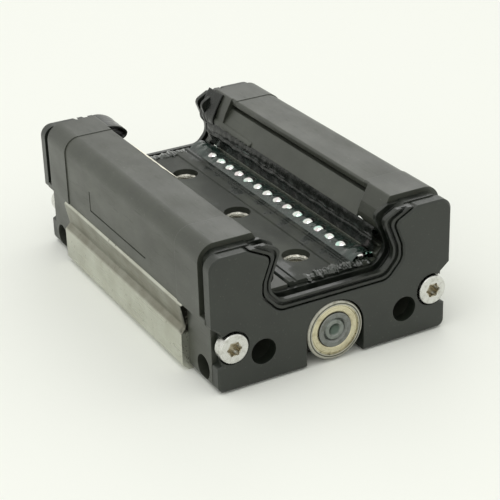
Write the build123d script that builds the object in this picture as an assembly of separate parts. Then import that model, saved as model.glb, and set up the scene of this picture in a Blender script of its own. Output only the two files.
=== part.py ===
from build123d import *
import math
import os

# Ball rail carriage, lying on its mounting face with the rail channel upwards.
# X runs across the carriage, Y along the travel, Z up. The origin is the middle of the mounting face.
# The front end, which carries the roller bearing, looks along -Y.

# Whole carriage: 48 wide, 71 long over the end plates and 26 high, worked out from the sizes below
rail_width = 23.0  # the rail that the carriage runs on
steel_length = 49.8

# Steel body
foot_chamfer = 1.2
ground_band_top = 7.05
relief_depth = 1.0
relief_start = 1.05  # height of the step from the ground band into the relief
lip_setback = 0.15
lip_chamfer = 0.4
leg_wall = 4.08  # steel outside the lower ball groove
leg_tip_rise = 3.1  # leg end above the lower ball row
leg_tip_lean = 0.8  # from the lower ball row out to the inner edge of the leg end
leg_corner = 0.8
ridge_run = 2.0  # sloping face between the two ball rows
ridge_gap = 0.5  # from the upper ball groove out to that face

# Ball circuits
ball_diameter = 3.5
groove_play = 0.07
tunnel_play = 0.15
upper_row_inset = 2.9  # from the side of the rail in to the upper ball row
upper_row_rise = 0.8  # above the web of the steel body
lower_row_outset = 0.9  # from the side of the rail out to the lower ball row
row_rise = 5.0
return_rise = 1.7  # return bore above its loaded row
turn_straight = 0.67  # between the two bends of the shorter turn
ball_gap = 0.21

# Mounting holes in the steel body
mount_spacing_x = 35.0
mount_spacing_y = 35.0
mount_hole_diameter = 5.0  # core of an M6 thread
mount_hole_depth = 6.5
centre_hole_diameter = 3.3  # core of an M4 thread
front_hole_margin = 2.4  # from the front end of the steel to the first centre hole
rear_hole_margin = 4.8
floor_hole_diameter = 5.0

# Plastic leg covers
cover_setback = 0.6  # cover side inside the ground side of the steel
cover_corner = 3.0
cover_wall = 0.6  # beside the return bores
cover_floor = 1.25  # under the upper return bore
cover_end_step = 1.65  # of the covers inside the ends of the steel
cover_play = 0.1
horn_inner = 1.9  # from the side of the rail out to the inner edge of the covers
horn_edge = 0.5
horn_roof = 1.1  # of the cover above the seal slot
seal_slot_depth = 1.2  # the slot above the seal strip, into the cover
seal_slot_height = 0.9
seal_strip_height = 1.7  # on top of the steel leg
seal_lip_inset = 0.65  # lip of the strip inside the side of the rail
seal_lip_drop = 1.75  # lip below the leg end
seal_lip_edge = 0.2
frame_line_width = 0.35
frame_line_depth = 0.2
frame_line_rise = 2.8  # above the ledge that the cover sits on
frame_line_height = 3.65
frame_line_front = -10.8
frame_line_rear = 12.9

# Channel floor and ball bars
floor_thickness = 1.3
floor_flat_half = 2.9
floor_ramp_rise = 0.25
floor_lip_rise = 0.35
floor_ball_gap = 0.05  # from the floor plate to the upper balls
floor_end_gap = 0.2
bar_thickness = 0.7
bar_edge = 0.3
bar_hook = 0.75  # upper edge of the bar, turned in under the lower balls
bar_hook_rise = 0.62
bar_tongue = 1.5  # of the bar beyond the steel, into each cap

# End caps
cap_wall = 0.7  # in front of the turning balls
cap_foot_gap = 0.35  # above the mounting face
cap_block_setback = 1.35  # lower block inside the ground side of the steel
cap_side_setback = 0.4
cap_flare = 0.95
cap_top_rise = 0.1
foot_corner = 1.2
channel_play = 0.15
cap_horn_lean = 1.5
guide_play = 0.1

# Wiper and end plate
plate_thickness = 2.2
wiper_thickness = 1.8
wiper_setback = 0.9  # of the rubber behind the rim of the cap
wiper_foot_rise = 1.0  # lower edge of the rubber above the ledge of the steel
wiper_drop = 1.35  # rubber below the plate's channel
lip_gap = 0.3
lip_wall = 0.5  # also the outer one of the two front lips
lip_valley = 0.5  # between the two front lips
lip_valley_depth = 0.7
inner_lip = 0.45
inner_lip_setback = 0.25  # of its tip behind the tip of the outer lip
inner_lip_foot = 0.5  # rubber under the valley
rear_lip_reach = 1.1
rear_lip_thickness = 0.8
front_lip_setback = 0.4
plate_setback = 0.5
plate_foot_gap = 0.3
plate_block_setback = 1.4
plate_waist_setback = 2.33
plate_block_top = 5.0
plate_waist_drop = 1.55  # top of the waist below the ledge of the steel
plate_shoulder_drop = 0.05
plate_top_drop = 1.0  # below the top of the leg covers
plate_corner = 2.2
channel_floor_inset = 0.7  # from the side of the rail in to the floor corner of the plate's channel
channel_floor_drop = 1.02  # of that floor below the top of the steel web
channel_wall = 2.35  # from the side of the rail out to the channel wall
channel_wall_rise = 2.4  # foot of that wall above the top of the steel web
channel_wall_drop = 0.7  # top of that wall below the lower ball row
tip_outset = 0.6  # horn tips of the plate outside the rail
tip_rise = 0.4  # horn tips above the steel legs
channel_foot_round = 2.6
channel_wall_round = 2.0
horn_tip_round = 1.2
horn_peak_round = 0.8
peak_outset = 5.05
rim_chamfer = 0.3

# Ports and screws
port_inset = 10.0  # from the ground side of the steel
port_height = 6.0
port_diameter = 4.7
port_depth = 6.0
side_port_diameter = 4.4
side_port_height = 3.1
side_port_depth = 4.5
side_port_from_face = 5.3
screw_inset = 4.3  # from the ground side of the steel
screw_height = 8.3
screw_diameter = 3.0
screw_grip = 2.8  # of the thread in the steel
screw_head_diameter = 5.4
screw_head_height = 1.9
screw_seat = 0.8  # plate left under the screw head
screw_play = 0.03
socket_over_lobes = 2.8
socket_over_valleys = 2.0
socket_flank = 2.36  # where the lobes turn into the valleys
socket_depth = 1.2
pocket_diameter = 6.1

# Roller bearing, 4 x 11 x 4
bearing_bore = 4.0
bearing_width = 4.0
ring_wall = 1.0  # of each ring behind the balls
race_ball_diameter = 1.5
bearing_rise = 0.4  # of the outer ring above the mounting face
bearing_seat_ring = 0.25
slot_play = 0.2
slot_roof = 0.78  # of the end plate between the bearing slot and the channel
race_ball_count = 7
race_play = 0.02
race_shoulder = 0.2  # height of a ring's shoulder beside its race
shield_seat = 0.35
shield_recess = 0.15
shield_thickness = 0.25
shield_gap = 0.1
shield_notches = 14
cage_thickness = 0.5
cage_margin = 0.4  # of the cage beside its balls
pin_recess = 0.15
pin_depth = 4.5  # of the pin in the cap
ring_boss_diameter = 5.8

# Places worked out from the sizes above
half_steel = steel_length / 2
half_rail = rail_width / 2
bearing_radius = bearing_bore / 2 + 2 * ring_wall + race_ball_diameter
bearing_height = bearing_radius + bearing_rise
slot_radius = bearing_radius + slot_play
channel_floor = bearing_height + slot_radius + slot_roof
web_top = channel_floor + channel_floor_drop
ball_radius = ball_diameter / 2
groove_radius = ball_radius + groove_play
tunnel_radius = ball_radius + tunnel_play
upper_row = (half_rail - upper_row_inset, web_top + upper_row_rise)
lower_row = (half_rail + lower_row_outset, web_top + upper_row_rise + row_rise)
leg_outer = lower_row[0] + groove_radius + leg_wall
leg_top = lower_row[1] + leg_tip_rise
cover_inner = leg_outer + cover_play
cover_side = cover_inner + 2 * (tunnel_radius + cover_wall)
half_width = cover_side + cover_setback
return_x = (cover_inner + cover_side) / 2
upper_return = (return_x, upper_row[1] + return_rise)
lower_return = (return_x, lower_row[1] + return_rise)
turn_radius = (math.hypot(return_x - lower_row[0], return_rise) - turn_straight) / 2
ledge_height = upper_return[1] - tunnel_radius - cover_floor
strip_top = leg_top + seal_strip_height
height = strip_top + seal_slot_height + horn_roof
half_cover = half_steel - cover_end_step
floor_top = web_top + floor_thickness
floor_lip_half = upper_row[0] - ball_radius - floor_ball_gap
horn_x = half_rail + horn_inner
cap_block = half_width - cap_block_setback
cap_side = half_width - cap_side_setback
cap_top = height + cap_top_rise
wiper_back = half_steel + turn_radius + tunnel_radius + cap_wall
wiper_foot = ledge_height + wiper_foot_rise
plate_back = wiper_back + wiper_thickness
half_span = plate_back + plate_thickness
plate_top = height - plate_top_drop
plate_shoulder = ledge_height - plate_shoulder_drop
plate_waist_top = ledge_height - plate_waist_drop
channel_floor_half = half_rail - channel_floor_inset
screw_seat_y = plate_back + screw_seat
screw_length = screw_seat_y - half_steel + screw_grip
screw_x = half_width - screw_inset
port_x = half_width - port_inset
bearing_face = half_span
bearing_back = bearing_face - bearing_width
front_hole = front_hole_margin - half_steel
rear_hole = half_steel - rear_hole_margin
centre_holes = [front_hole, (front_hole + rear_hole) / 2, rear_hole]


# Drawing helpers

def on_circle(centre, radius, degrees):
    a = math.radians(degrees)
    return (centre[0] + radius * math.cos(a), centre[1] + radius * math.sin(a))


def both_sides(half):
    """Corners of the right half, bottom first, completed by their mirror images."""
    left = [(-c[0],) + tuple(c[1:]) for c in reversed(half)]
    return list(half) + left


def rounded_loop(corners, y):
    """Closed outline in the plane at y. A corner is (x, z) or (x, z, radius)."""
    count = len(corners)
    ends = []
    for i, corner in enumerate(corners):
        here = Vector(corner[0], y, corner[1])
        before = Vector(corners[i - 1][0], y, corners[i - 1][1])
        after = Vector(corners[(i + 1) % count][0], y, corners[(i + 1) % count][1])
        radius = corner[2] if len(corner) > 2 else 0
        if radius == 0:
            ends.append((here, None, here))
            continue
        to_before = (before - here).normalized()
        to_after = (after - here).normalized()
        half_angle = math.radians(to_before.get_angle(to_after)) / 2
        run = radius / math.tan(half_angle)
        middle = (to_before + to_after).normalized()
        on_arc = here + middle * (radius / math.sin(half_angle) - radius)
        ends.append((here + to_before * run, on_arc, here + to_after * run))
    edges = []
    for i, (start, on_arc, end) in enumerate(ends):
        if on_arc is not None:
            edges.append(ThreePointArc(start, on_arc, end))
        following = ends[(i + 1) % count][0]
        if (following - end).length > 1e-6:
            edges.append(Line(end, following))
    return Wire(edges)


def slab(corners, y_from, y_to):
    """The outline drawn across the carriage, carried along Y."""
    face = Face(rounded_loop(corners, y_from))
    return extrude(face, amount=y_to - y_from, dir=(0, 1, 0))


def inset(corners, distance):
    """The same closed outline moved inwards, or outwards for a negative distance."""
    count = len(corners)
    area = sum(
        corners[i - 1][0] * corners[i][1] - corners[i][0] * corners[i - 1][1] for i in range(count)
    )
    turn = 1 if area > 0 else -1
    moved = []
    for i, corner in enumerate(corners):
        before, after = corners[i - 1], corners[(i + 1) % count]
        ax, az = corner[0] - before[0], corner[1] - before[1]
        bx, bz = after[0] - corner[0], after[1] - corner[1]
        a_length, b_length = math.hypot(ax, az), math.hypot(bx, bz)
        a_normal = (-az / a_length * turn, ax / a_length * turn)
        b_normal = (-bz / b_length * turn, bx / b_length * turn)
        share = 1 + a_normal[0] * b_normal[0] + a_normal[1] * b_normal[1]
        x = corner[0] + distance * (a_normal[0] + b_normal[0]) / share
        z = corner[1] + distance * (a_normal[1] + b_normal[1]) / share
        moved.append((x, z) + tuple(corner[2:]))
    return moved


def bevelled_layer(corners, y_from, y_to, bevel):
    """A thin layer whose outline draws in by the bevel on its way from y_from to y_to."""
    whole = rounded_loop(corners, y_from)
    drawn_in = rounded_loop(inset(corners, bevel), y_to)
    return Solid.make_loft([whole, drawn_in], ruled=True)


def rod(x, z, radius, y_from, y_to):
    """A cylinder along Y."""
    disc = Plane(origin=(x, y_from, z), x_dir=(1, 0, 0), z_dir=(0, 1, 0)) * Circle(radius)
    return extrude(disc, amount=y_to - y_from, dir=(0, 1, 0))


def block(x_from, x_to, y_from, y_to, z_from, z_to):
    size = (x_to - x_from, y_to - y_from, z_to - z_from)
    middle = Pos((x_from + x_to) / 2, (y_from + y_to) / 2, (z_from + z_to) / 2)
    return middle * Box(*size)


def turned(profile, x, z):
    """A ring turned about an axis along Y at (x, z). The profile holds (radius, y) corners."""
    points = [Vector(x + radius, y, z) for radius, y in profile]
    face = Face(Wire(Polyline(*points, close=True)))
    return revolve(face, axis=Axis((x, 0, z), (0, 1, 0)))


def flip_side(shape):
    return mirror(shape, Plane.YZ)


def flip_end(shape):
    return mirror(shape, Plane.XZ)


# Ball circuits: each one runs down a loaded row, turns in a cap and comes back through a bore

def turn_points(row, back):
    """Start, corner arcs and end of the turn beyond the front end of the steel body."""
    across = Vector(back[0] - row[0], 0, back[1] - row[1])
    e = across.normalized()
    out = Vector(0, -1, 0)
    start = Vector(row[0], -half_steel, row[1])
    end = Vector(back[0], -half_steel, back[1])
    r = turn_radius
    slant = math.sqrt(0.5)
    first_mid = start + e * r + (e * -slant + out * slant) * r
    first_end = start + e * r + out * r
    second_start = end - e * r + out * r
    second_mid = end - e * r + (e * slant + out * slant) * r
    return start, first_mid, first_end, second_start, second_mid, end


def turn_tunnel(row, back):
    start, first_mid, first_end, second_start, second_mid, end = turn_points(row, back)
    lead = Vector(0, 0.6, 0)
    reach = Vector(0, cover_end_step + 0.5, 0)
    path = Wire(
        [
            Line(start + lead, start),
            ThreePointArc(start, first_mid, first_end),
            Line(first_end, second_start),
            ThreePointArc(second_start, second_mid, end),
            Line(end, end + reach),
        ]
    )
    section = Plane(origin=path @ 0, z_dir=path % 0) * Circle(tunnel_radius)
    return sweep(section, path=path)


def circuit_balls(row, back):
    """Every ball of one circuit, evenly spaced round its loop, with a ball at mid-length of the row gap."""
    across = math.hypot(back[0] - row[0], back[1] - row[1])
    e = Vector((back[0] - row[0]) / across, 0, (back[1] - row[1]) / across)
    quarter = turn_radius * math.pi / 2
    straight = across - 2 * turn_radius
    turn = 2 * quarter + straight
    loop = 2 * steel_length + 2 * turn
    count = int(loop / (ball_diameter + ball_gap))
    step = loop / count

    def in_turn(s):
        """Offset across and beyond the steel's end after a way s into a turn."""
        if s < quarter:
            a = s / turn_radius
            return turn_radius * (1 - math.cos(a)), turn_radius * math.sin(a)
        if s < quarter + straight:
            return turn_radius + s - quarter, turn_radius
        a = (s - quarter - straight) / turn_radius
        return across - turn_radius * (1 - math.sin(a)), turn_radius * math.cos(a)

    balls = []
    for k in range(count):
        s = (steel_length / 2 + step * (k + 0.5)) % loop
        if s < steel_length:
            offset, y = 0, half_steel - s
        elif s < steel_length + turn:
            offset, beyond = in_turn(s - steel_length)
            y = -half_steel - beyond
        elif s < 2 * steel_length + turn:
            offset, y = across, -half_steel + s - steel_length - turn
        else:
            offset, beyond = in_turn(s - 2 * steel_length - turn)
            offset, y = across - offset, half_steel + beyond
        place = Vector(row[0], y, row[1]) + e * offset
        balls.append(Pos(place) * Sphere(ball_radius))
    return balls


# Steel body

def steel_corners():
    outer = half_width
    tip = lower_row[0] + leg_tip_lean
    upper_out = on_circle(upper_row, groove_radius, 5)
    ridge_low = (upper_out[0] + ridge_gap, upper_out[1] + ridge_gap)
    return both_sides(
        [
            (outer - foot_chamfer, 0),
            (outer, foot_chamfer),
            (outer, ground_band_top),
            (outer - relief_depth, ground_band_top + relief_start, 0.5),
            (outer - lip_setback, ledge_height - lip_chamfer),
            (outer - lip_setback - lip_chamfer, ledge_height),
            (leg_outer, ledge_height),
            (leg_outer, leg_top, leg_corner),
            (tip, leg_top),
            on_circle(lower_row, groove_radius, 75),
            on_circle(lower_row, groove_radius, -20),
            (ridge_low[0] + ridge_run, ridge_low[1] + ridge_run),
            ridge_low,
            upper_out,
            (upper_row[0] - math.sqrt(groove_radius**2 - upper_row_rise**2), web_top),
        ]
    )


def steel_body():
    body = slab(steel_corners(), -half_steel, half_steel)
    for side in (-1, 1):
        for row in (upper_row, lower_row):
            body -= rod(side * row[0], row[1], groove_radius, -half_steel, half_steel)
    for side in (-1, 1):
        for end in (-1, 1):
            mount = Pos(side * mount_spacing_x / 2, end * mount_spacing_y / 2, 0)
            hole = mount * Cylinder(mount_hole_diameter / 2, 2 * mount_hole_depth)
            lead_in = mount * Cone(mount_hole_diameter / 2 + 0.9, mount_hole_diameter / 2 - 0.1, 1.0)
            body -= hole + lead_in
    for y in centre_holes:
        body -= Pos(0, y, 0) * Cylinder(centre_hole_diameter / 2, 3 * web_top)
    tapped = rod(screw_x, screw_height, screw_diameter / 2 + screw_play, -half_steel,
                 -half_steel + screw_grip + 1.0)
    tapped += flip_side(tapped)
    return body - tapped - flip_end(tapped)


# Leg covers, seal strips, floor and ball bars

def cover_corners(side, top, corner):
    return [
        (cover_inner, ledge_height),
        (side, ledge_height),
        (side, top, corner),
        (horn_x, top, horn_edge),
        (horn_x, strip_top + seal_slot_height),
        (horn_x + seal_slot_depth, strip_top + seal_slot_height),
        (horn_x + seal_slot_depth, leg_top + cover_play),
        (cover_inner, leg_top + cover_play),
    ]


def right_cover():
    cover = slab(cover_corners(cover_side, height, cover_corner), -half_cover, half_cover)
    for bore in (upper_return, lower_return):
        cover -= rod(bore[0], bore[1], tunnel_radius, -half_cover, half_cover)
    return cover


def left_cover():
    """The left cover has a fine moulded corner line on its side."""
    cover = flip_side(right_cover())
    x = -cover_side
    depth = frame_line_depth
    fine = frame_line_width
    low = ledge_height + frame_line_rise
    lying = block(x - 1, x + depth, frame_line_front, frame_line_rear, low - fine, low)
    standing = block(x - 1, x + depth, frame_line_rear - fine, frame_line_rear,
                     low - fine, low + frame_line_height)
    return cover - lying - standing


def right_seal_strip():
    tip = lower_row[0] + leg_tip_lean
    lip = (half_rail - seal_lip_inset, leg_top - seal_lip_drop)
    foot = on_circle(lower_row, groove_radius, 75)
    corners = [
        (horn_x - 0.05, strip_top, 0.2),
        lip,
        (lip[0] + seal_lip_edge, lip[1] - seal_lip_edge * 0.75),
        (lower_row[0] - 0.55, foot[1] + 0.15),
        (foot[0] - 0.2, foot[1] + 0.15),
        (tip - 0.15, leg_top),
        (horn_x + seal_slot_depth - 0.1, leg_top),
        (horn_x + seal_slot_depth - 0.1, strip_top),
    ]
    return slab(corners, -half_steel, half_steel)


def channel_floor_plate():
    flat = floor_flat_half
    half = [
        (floor_lip_half - 0.2, web_top),
        (floor_lip_half, floor_top - 0.3),
        (floor_lip_half, floor_top),
        (floor_lip_half - 0.35, floor_top + floor_lip_rise),
        (floor_lip_half - 1.1, floor_top + floor_lip_rise),
        (floor_lip_half - 1.3, floor_top + 0.05),
        (floor_lip_half - 1.7, floor_top + 0.05),
        (floor_lip_half - 1.9, floor_top + floor_ramp_rise),
        (flat + 0.2, floor_top + floor_ramp_rise),
        (flat, floor_top),
    ]
    length = wiper_back - floor_end_gap
    plate = slab(both_sides(half), -length, length)
    for y in centre_holes:
        plate -= Pos(0, y, floor_top) * Cylinder(floor_hole_diameter / 2, 3 * floor_thickness)
    return plate


def ridge_line():
    upper_out = on_circle(upper_row, groove_radius, 5)
    low = (upper_out[0] + ridge_gap, upper_out[1] + ridge_gap)
    return low, (low[0] + ridge_run, low[1] + ridge_run)


def bar_corners():
    low, high = ridge_line()
    step = bar_thickness * math.sqrt(0.5)
    return [
        (low[0] + bar_edge, low[1] + bar_edge),
        high,
        (high[0] - bar_edge, high[1] + bar_edge),
        (high[0] - 2 * bar_hook, high[1] + bar_hook_rise),
        (high[0] - 2 * bar_hook - 0.15, high[1] + bar_hook_rise - 0.3),
        (high[0] - 2 * step, high[1] - 0.05),
        (low[0] - step + 0.35, low[1] + step + 0.35),
        (low[0] - step + 0.35, low[1] + bar_edge),
    ]


def right_ball_bar():
    """A slim bar on the sloping face between the two ball rows keeps both rows in."""
    length = half_steel + bar_tongue
    return slab(bar_corners(), -length, length)


# End caps and the guides that the balls turn round

def cap_corners():
    low, high = ridge_line()
    step_out = half_rail + 1.4
    return both_sides(
        [
            (cap_block, cap_foot_gap, foot_corner),
            (cap_block, ledge_height - cap_flare),
            (cap_side, ledge_height),
            (cap_side, cap_top, cover_corner + cap_top_rise),
            (horn_x, cap_top, horn_edge),
            (horn_x - cap_horn_lean, strip_top - 0.7, 0.6),
            (half_rail - 0.3, lower_row[1] + 2.3, 0.5),
            (half_rail - 0.3, lower_row[1] + 1.1, 0.5),
            (step_out, lower_row[1] - 0.7),
            (step_out, high[1] + step_out - high[0]),
            low,
            (floor_lip_half + channel_play, low[1]),
            (floor_lip_half + channel_play, web_top),
        ]
    )


def pad_corners():
    """Lower part of the cap that reaches forward to the plate, below the rubber."""
    return both_sides(
        [
            (cap_block, cap_foot_gap, foot_corner),
            (cap_block, ledge_height - cap_flare),
            (cap_side, ledge_height),
            (cap_side, wiper_foot - 0.1, 0.2),
            (channel_floor_half + 3.1, wiper_foot - 0.1),
            (channel_floor_half + 0.8, channel_floor - wiper_drop - 0.1),
        ]
    )


def guide_corners():
    low, high = ridge_line()
    inner = upper_row[0] + 0.4
    outer = return_x - 0.1
    return [
        (inner, upper_row[1] - tunnel_radius),
        (outer, upper_return[1] - tunnel_radius - 0.8),
        (outer, lower_return[1] + 1.1),
        (high[0] + 0.6, lower_return[1] + 1.1),
        (high[0] + 0.6, high[1] - 0.5),
        (low[0] + 0.7, low[1] - 0.4),
        (inner, low[1] - 0.4),
    ]


def right_tunnels():
    return turn_tunnel(upper_row, upper_return) + turn_tunnel(lower_row, lower_return)


def front_guides():
    deep = half_steel + turn_radius
    guide = slab(guide_corners(), -deep, -half_steel) - right_tunnels()
    guide = max(guide.solids(), key=lambda s: s.volume)
    return [guide, flip_side(guide)]


def slot_cut(y_from, y_to, radius):
    """The upside-down U in the front end that the bearing turns in."""
    arch = rod(0, bearing_height, radius, y_from, y_to)
    return arch + block(-radius, radius, y_from, y_to, -1, bearing_height)


def end_cap(with_roller):
    cap = slab(cap_corners(), -wiper_back, -half_steel)
    cap += slab(pad_corners(), -plate_back, -wiper_back)
    rim = slab(cover_corners(cap_side, cap_top, cover_corner + cap_top_rise), -half_steel, -half_cover)
    cap += rim + flip_side(rim)
    rib = slab(bar_corners(), -wiper_back + floor_end_gap, -half_steel - bar_tongue - guide_play)
    cap += rib + flip_side(rib)
    pocket = slab(inset(guide_corners(), -guide_play), -half_steel - turn_radius - guide_play,
                  -half_steel)
    hollow = pocket + right_tunnels()
    cap -= hollow
    cap -= flip_side(hollow)
    for side in (-1, 1):
        cap -= rod(side * screw_x, screw_height, screw_diameter / 2 + 0.15, -plate_back, -half_steel)
        cap -= rod(side * port_x, port_height, port_diameter / 2, -plate_back, -half_span + port_depth)
        inner_end = cap_block - side_port_depth
        across = Plane(origin=(side * inner_end, -half_span + side_port_from_face, side_port_height),
                       z_dir=(side, 0, 0))
        cap -= extrude(across * Circle(side_port_diameter / 2), amount=side_port_depth + 1)
    if with_roller:
        cap -= slot_cut(-plate_back, -bearing_back, slot_radius)
        recess = -bearing_back + bearing_seat_ring
        seat = slot_cut(-bearing_back, recess, slot_radius)
        cap -= seat - rod(0, bearing_height, ring_boss_diameter / 2, -bearing_back, recess)
        cap -= rod(0, bearing_height, bearing_bore / 2, -plate_back, -bearing_back + pin_depth)
    return cap


# Wiper and end plate

def channel_corners():
    """The opening for the rail in the end plate, carried well above the carriage."""
    return both_sides(
        [
            (channel_floor_half, channel_floor, channel_foot_round),
            (half_rail + channel_wall, web_top + channel_wall_rise, channel_foot_round),
            (half_rail + channel_wall - 0.15, lower_row[1] - channel_wall_drop, channel_wall_round),
            (half_rail + tip_outset, leg_top + tip_rise, horn_tip_round),
            (half_rail + peak_outset, plate_top, horn_peak_round),
            (half_rail + peak_outset, height + 5),
        ]
    )


def wiper(with_roller):
    opening = channel_corners()
    body = slab(
        both_sides(
            [
                (channel_floor_half + 0.7, channel_floor - wiper_drop),
                (channel_floor_half + 3.1, wiper_foot),
                (cap_side - wiper_setback, wiper_foot, 0.5),
                (cap_side - wiper_setback, cap_top - wiper_setback, plate_corner),
            ]
        ),
        -plate_back,
        -wiper_back,
    )
    inner = lip_gap + lip_wall
    front = -half_span + front_lip_setback
    valley_floor = front + lip_valley_depth
    lips_back = valley_floor + inner_lip_foot
    reach = inner + lip_valley + inner_lip
    below_top = block(-half_width, half_width, -half_span, -wiper_back, 0, plate_top)
    wall = slab(inset(opening, lip_gap), front, -plate_back) & below_top
    body += wall
    body -= slab(inset(opening, inner), lips_back, -wiper_back)
    body -= slab(inset(opening, inner), front, valley_floor)
    body -= slab(inset(opening, reach), valley_floor, lips_back)
    ridge = slab(inset(opening, inner + lip_valley), front + inner_lip_setback, valley_floor) & below_top
    body += ridge - slab(inset(opening, reach), front, valley_floor)
    rear_lip = slab(inset(opening, inner), -wiper_back - rear_lip_thickness, -wiper_back) & below_top
    rear_lip -= slab(inset(opening, inner + rear_lip_reach), -wiper_back - rear_lip_thickness,
                     -wiper_back)
    body += rear_lip
    if with_roller:
        body -= slot_cut(-plate_back, -wiper_back, slot_radius + 0.15)
    return body


def end_plate(with_roller):
    half = [
        (half_width - plate_block_setback, plate_foot_gap, foot_corner),
        (half_width - plate_block_setback, plate_block_top, 0.25),
        (half_width - plate_waist_setback, plate_block_top + 0.4),
        (half_width - plate_waist_setback, plate_waist_top, 0.3),
        (half_width - plate_setback, plate_shoulder, 0.3),
        (half_width - plate_setback, plate_top, plate_corner),
    ]
    channel = [c for c in channel_corners() if c[0] > 0]
    half += [c for c in reversed(channel) if c[1] <= plate_top]
    outline = both_sides(half)
    plate = slab(outline, -half_span + rim_chamfer, -plate_back)
    plate += bevelled_layer(outline, -half_span + rim_chamfer, -half_span, rim_chamfer)
    for side in (-1, 1):
        pocket = rod(side * screw_x, screw_height, pocket_diameter / 2, -half_span, -screw_seat_y)
        plate -= pocket
        plate -= rod(side * screw_x, screw_height, screw_diameter / 2 + 0.15, -half_span, -plate_back)
        plate -= rod(side * port_x, port_height, port_diameter / 2, -half_span, -plate_back)
    if with_roller:
        plate -= slot_cut(-half_span, -plate_back, slot_radius)
    return plate


def lobed_socket(x, z, y_from, y_to):
    """Six lobes and six valleys, each one an arc."""
    def point(diameter, degrees):
        at = on_circle((x, z), diameter / 2, degrees)
        return Vector(at[0], y_from, at[1])

    edges = []
    for k in range(6):
        tip = 60 * k
        lobe = [point(socket_flank, tip - 13), point(socket_over_lobes, tip), point(socket_flank, tip + 13)]
        valley = [lobe[2], point(socket_over_valleys, tip + 30), point(socket_flank, tip + 47)]
        edges.append(ThreePointArc(*lobe))
        edges.append(ThreePointArc(*valley))
    return extrude(Face(Wire(edges)), amount=y_to - y_from, dir=(0, 1, 0))


def end_screw(side):
    """Cheese-head screw with a six-lobed socket, at the front end."""
    x, z = side * screw_x, screw_height
    head_y = -screw_seat_y - screw_head_height
    head = rod(x, z, screw_head_diameter / 2, head_y, -screw_seat_y)
    head = fillet(head.edges().group_by(Axis.Y)[0], 0.3)
    screw = head + rod(x, z, screw_diameter / 2, -screw_seat_y, -screw_seat_y + screw_length)
    return screw - lobed_socket(x, z, head_y - 0.1, head_y + socket_depth)


# Roller bearing on its pin

def bearing_parts():
    z = bearing_height
    outer = bearing_radius
    bore = bearing_bore / 2
    race = race_ball_diameter / 2
    pitch = bore + ring_wall + race
    front, back = -bearing_face, -bearing_back
    middle = (front + back) / 2
    land_out = pitch + race - race_shoulder
    land_in = pitch - race + race_shoulder
    seat = land_out + shield_seat
    deep = shield_recess + shield_thickness
    tube = Pos(0, middle, z) * Rot(90, 0, 0) * Torus(pitch, race + race_play)
    outer_ring = turned(
        [
            (outer - 0.25, front),
            (outer, front + 0.25),
            (outer, back - 0.25),
            (outer - 0.25, back),
            (seat, back),
            (seat, back - deep),
            (land_out, back - deep),
            (land_out, front + deep),
            (seat, front + deep),
            (seat, front),
        ],
        0,
        z,
    ) - tube
    inner_ring = turned(
        [
            (bore, front + 0.35),
            (bore + 0.35, front),
            (land_in - 0.1, front),
            (land_in, front + 0.1),
            (land_in, back - 0.1),
            (land_in - 0.1, back),
            (bore + 0.35, back),
            (bore, back - 0.35),
        ],
        0,
        z,
    ) - tube
    shield_in = land_in + shield_gap
    shield = turned(
        [
            (shield_in, front + shield_recess + 0.12),
            (shield_in + 0.25, front + shield_recess),
            (seat - 0.35, front + shield_recess),
            (seat - 0.2, front + shield_recess + 0.1),
            (seat, front + shield_recess + 0.1),
            (seat, front + deep),
            (shield_in, front + deep),
        ],
        0,
        z,
    )
    for k in range(shield_notches):
        at = on_circle((0, z), seat, 360 * k / shield_notches)
        shield -= rod(at[0], at[1], 0.12, front, front + deep)
    rear_shield = mirror(shield, Plane(origin=(0, middle, 0), z_dir=(0, 1, 0)))
    balls = []
    half_cage = race + cage_margin
    cage = rod(0, z, pitch + cage_thickness / 2, middle - half_cage, middle + half_cage)
    cage -= rod(0, z, pitch - cage_thickness / 2, middle - half_cage, middle + half_cage)
    for k in range(race_ball_count):
        at = on_circle((0, z), pitch, 360 * k / race_ball_count)
        balls.append(Pos(at[0], middle, at[1]) * Sphere(race))
        outward = Vector(at[0], 0, at[1] - z).normalized()
        window = Plane(origin=Vector(0, middle, z) + outward * (pitch - 1), z_dir=outward)
        cage -= extrude(window * Circle(race + 0.1), amount=2)
    pin_front = front + pin_recess
    pin = rod(0, z, bore, pin_front, back + pin_depth)
    pin = chamfer(pin.edges().group_by(Axis.Y)[0], 0.25)
    pin -= Pos(0, pin_front - 0.9, z) * Sphere(1.5)
    return {
        "bearing_outer_ring": outer_ring,
        "bearing_front_shield": shield,
        "bearing_rear_shield": rear_shield,
        "bearing_inner_ring": inner_ring,
        "bearing_balls": balls,
        "bearing_cage": cage,
        "bearing_pin": pin,
    }


def carriage():
    right_strip = right_seal_strip()
    right_bar = right_ball_bar()
    guides = front_guides()
    upper = circuit_balls(upper_row, upper_return)
    lower = circuit_balls(lower_row, lower_return)
    parts = {
        "steel_body": steel_body(),
        "left_leg_cover": left_cover(),
        "right_leg_cover": right_cover(),
        "left_seal_strip": flip_side(right_strip),
        "right_seal_strip": right_strip,
        "channel_floor_plate": channel_floor_plate(),
        "left_ball_bar": flip_side(right_bar),
        "right_ball_bar": right_bar,
        "front_end_cap": end_cap(True),
        "rear_end_cap": flip_end(end_cap(False)),
        "front_turn_guides": guides,
        "rear_turn_guides": [flip_end(g) for g in guides],
        "front_wiper": wiper(True),
        "rear_wiper": flip_end(wiper(False)),
        "front_end_plate": end_plate(True),
        "rear_end_plate": flip_end(end_plate(False)),
        "left_upper_balls": [flip_side(b) for b in upper],
        "right_upper_balls": upper,
        "left_lower_balls": [flip_side(b) for b in lower],
        "right_lower_balls": lower,
    }
    for side, word in ((-1, "left"), (1, "right")):
        screw = end_screw(side)
        parts[f"front_{word}_screw"] = screw
        parts[f"rear_{word}_screw"] = flip_end(screw)
    parts.update(bearing_parts())
    return parts


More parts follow.
